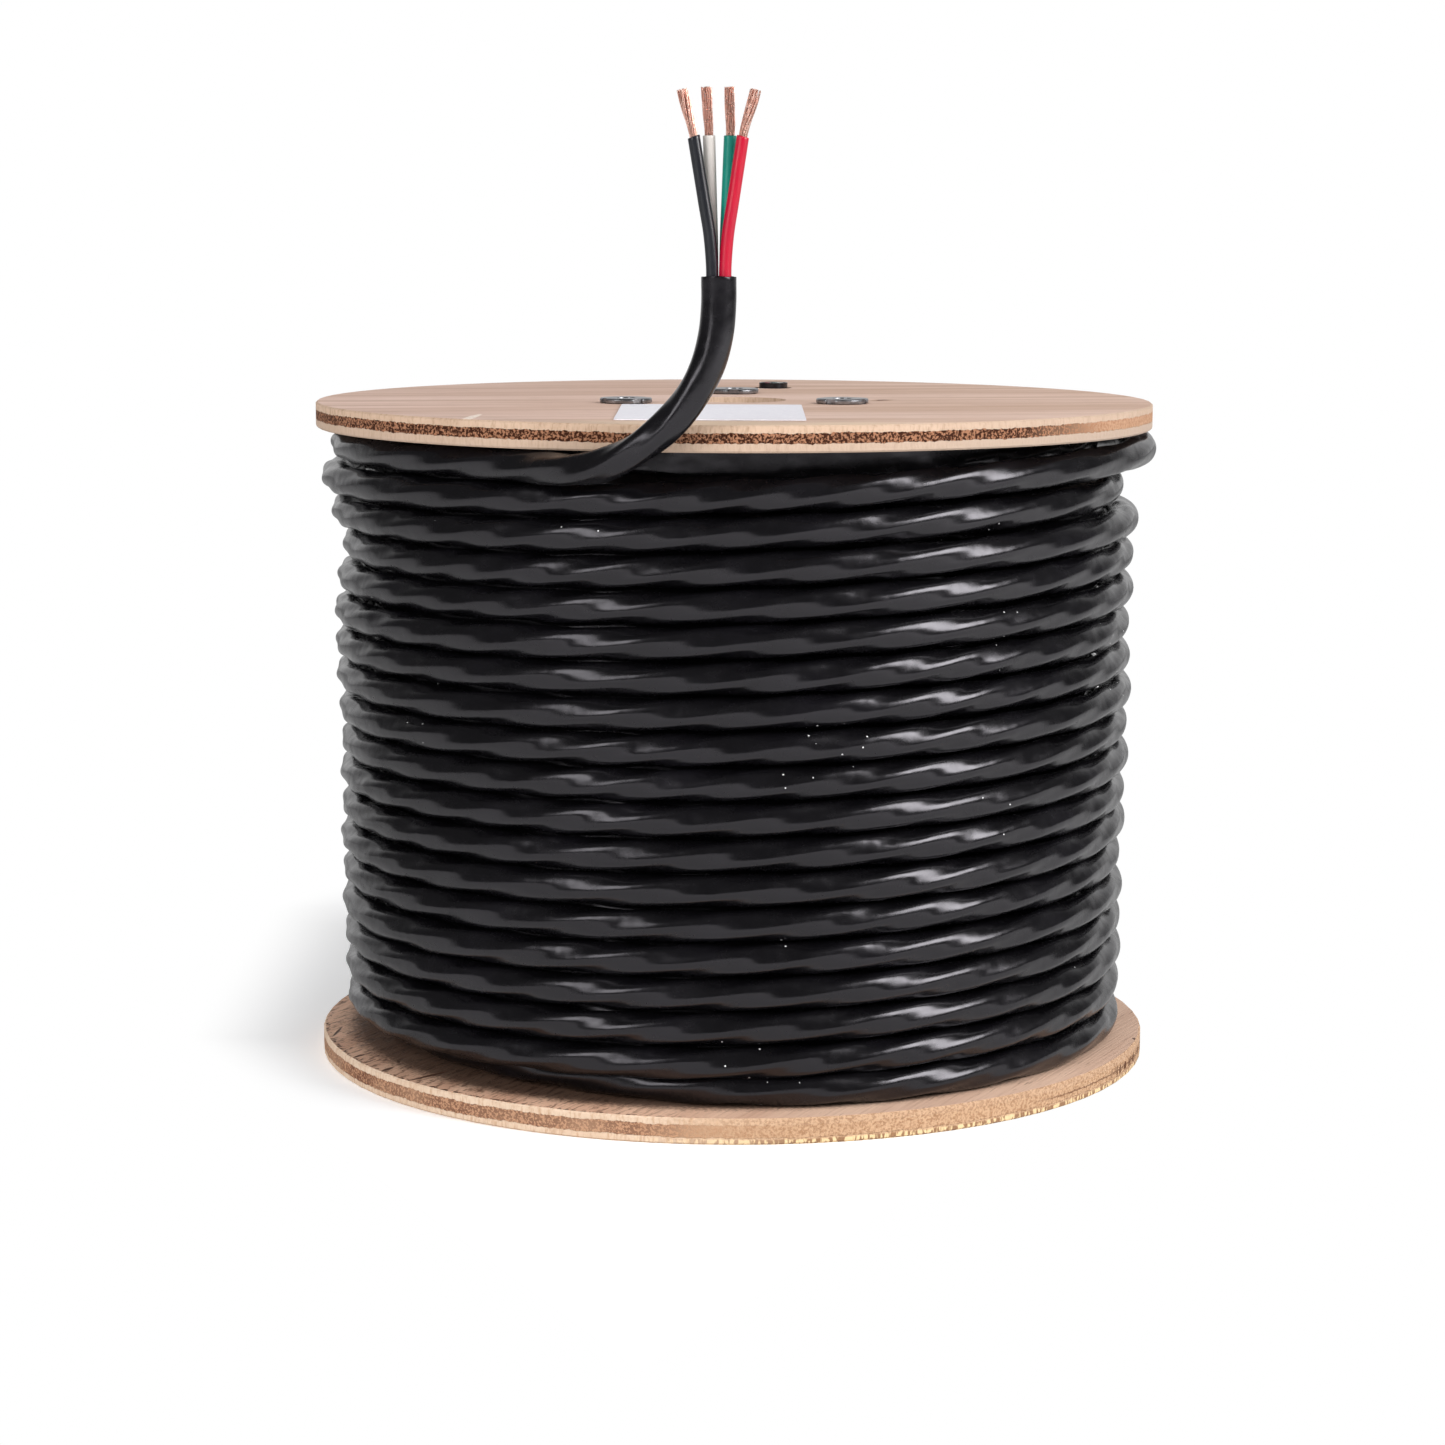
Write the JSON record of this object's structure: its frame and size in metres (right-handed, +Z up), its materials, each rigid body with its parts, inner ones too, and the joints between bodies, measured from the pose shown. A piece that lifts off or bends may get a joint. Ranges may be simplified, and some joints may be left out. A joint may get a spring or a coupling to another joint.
{
  "type": "wire spool",
  "caption": "Plywood cable reel wound full of black multi-core cable, with its free end stripped to coloured cores and bare copper strands.",
  "frame": {"origin": "centre of the lower flange's bottom face, where the reel stands", "axes": "+Z up along the reel's axis, -Y towards the camera, where the free end of the cable stands"},
  "size_m": [0.3071, 0.3229, 0.3481],
  "materials": {
    "plywood": "bare rotary-cut plywood, sanded, matt",
    "fibreboard": "matt wound fibre",
    "zinc_steel": "zinc plated",
    "label_paper": "coated paper, bare",
    "cable_jacket": "glossy black vinyl",
    "core_black": "glossy vinyl",
    "core_white": "satin vinyl",
    "core_green": "glossy vinyl",
    "core_red": "glossy vinyl",
    "copper": "bare copper strands"
  },
  "bodies": {
    "root": {"bottom_flange": "plywood", "top_flange": "plywood", "barrel": "fibreboard", "tie_bolt_1": "zinc_steel", "tie_bolt_2": "zinc_steel", "tie_bolt_3": "zinc_steel", "tee_nut_1": "zinc_steel", "tee_nut_2": "zinc_steel", "tee_nut_3": "zinc_steel", "flange_label": "label_paper", "cable_pack": "cable_jacket", "cable_outer_layer": "cable_jacket", "cable_inner_end": "cable_jacket", "cable_tail": "cable_jacket", "conductor_black": "core_black", "conductor_white": "core_white", "conductor_green": "core_green", "conductor_red": "core_red", "copper_strands_black": "copper", "copper_strands_white": "copper", "copper_strands_green": "copper", "copper_strands_red": "copper"}
  },
  "joints": []
}
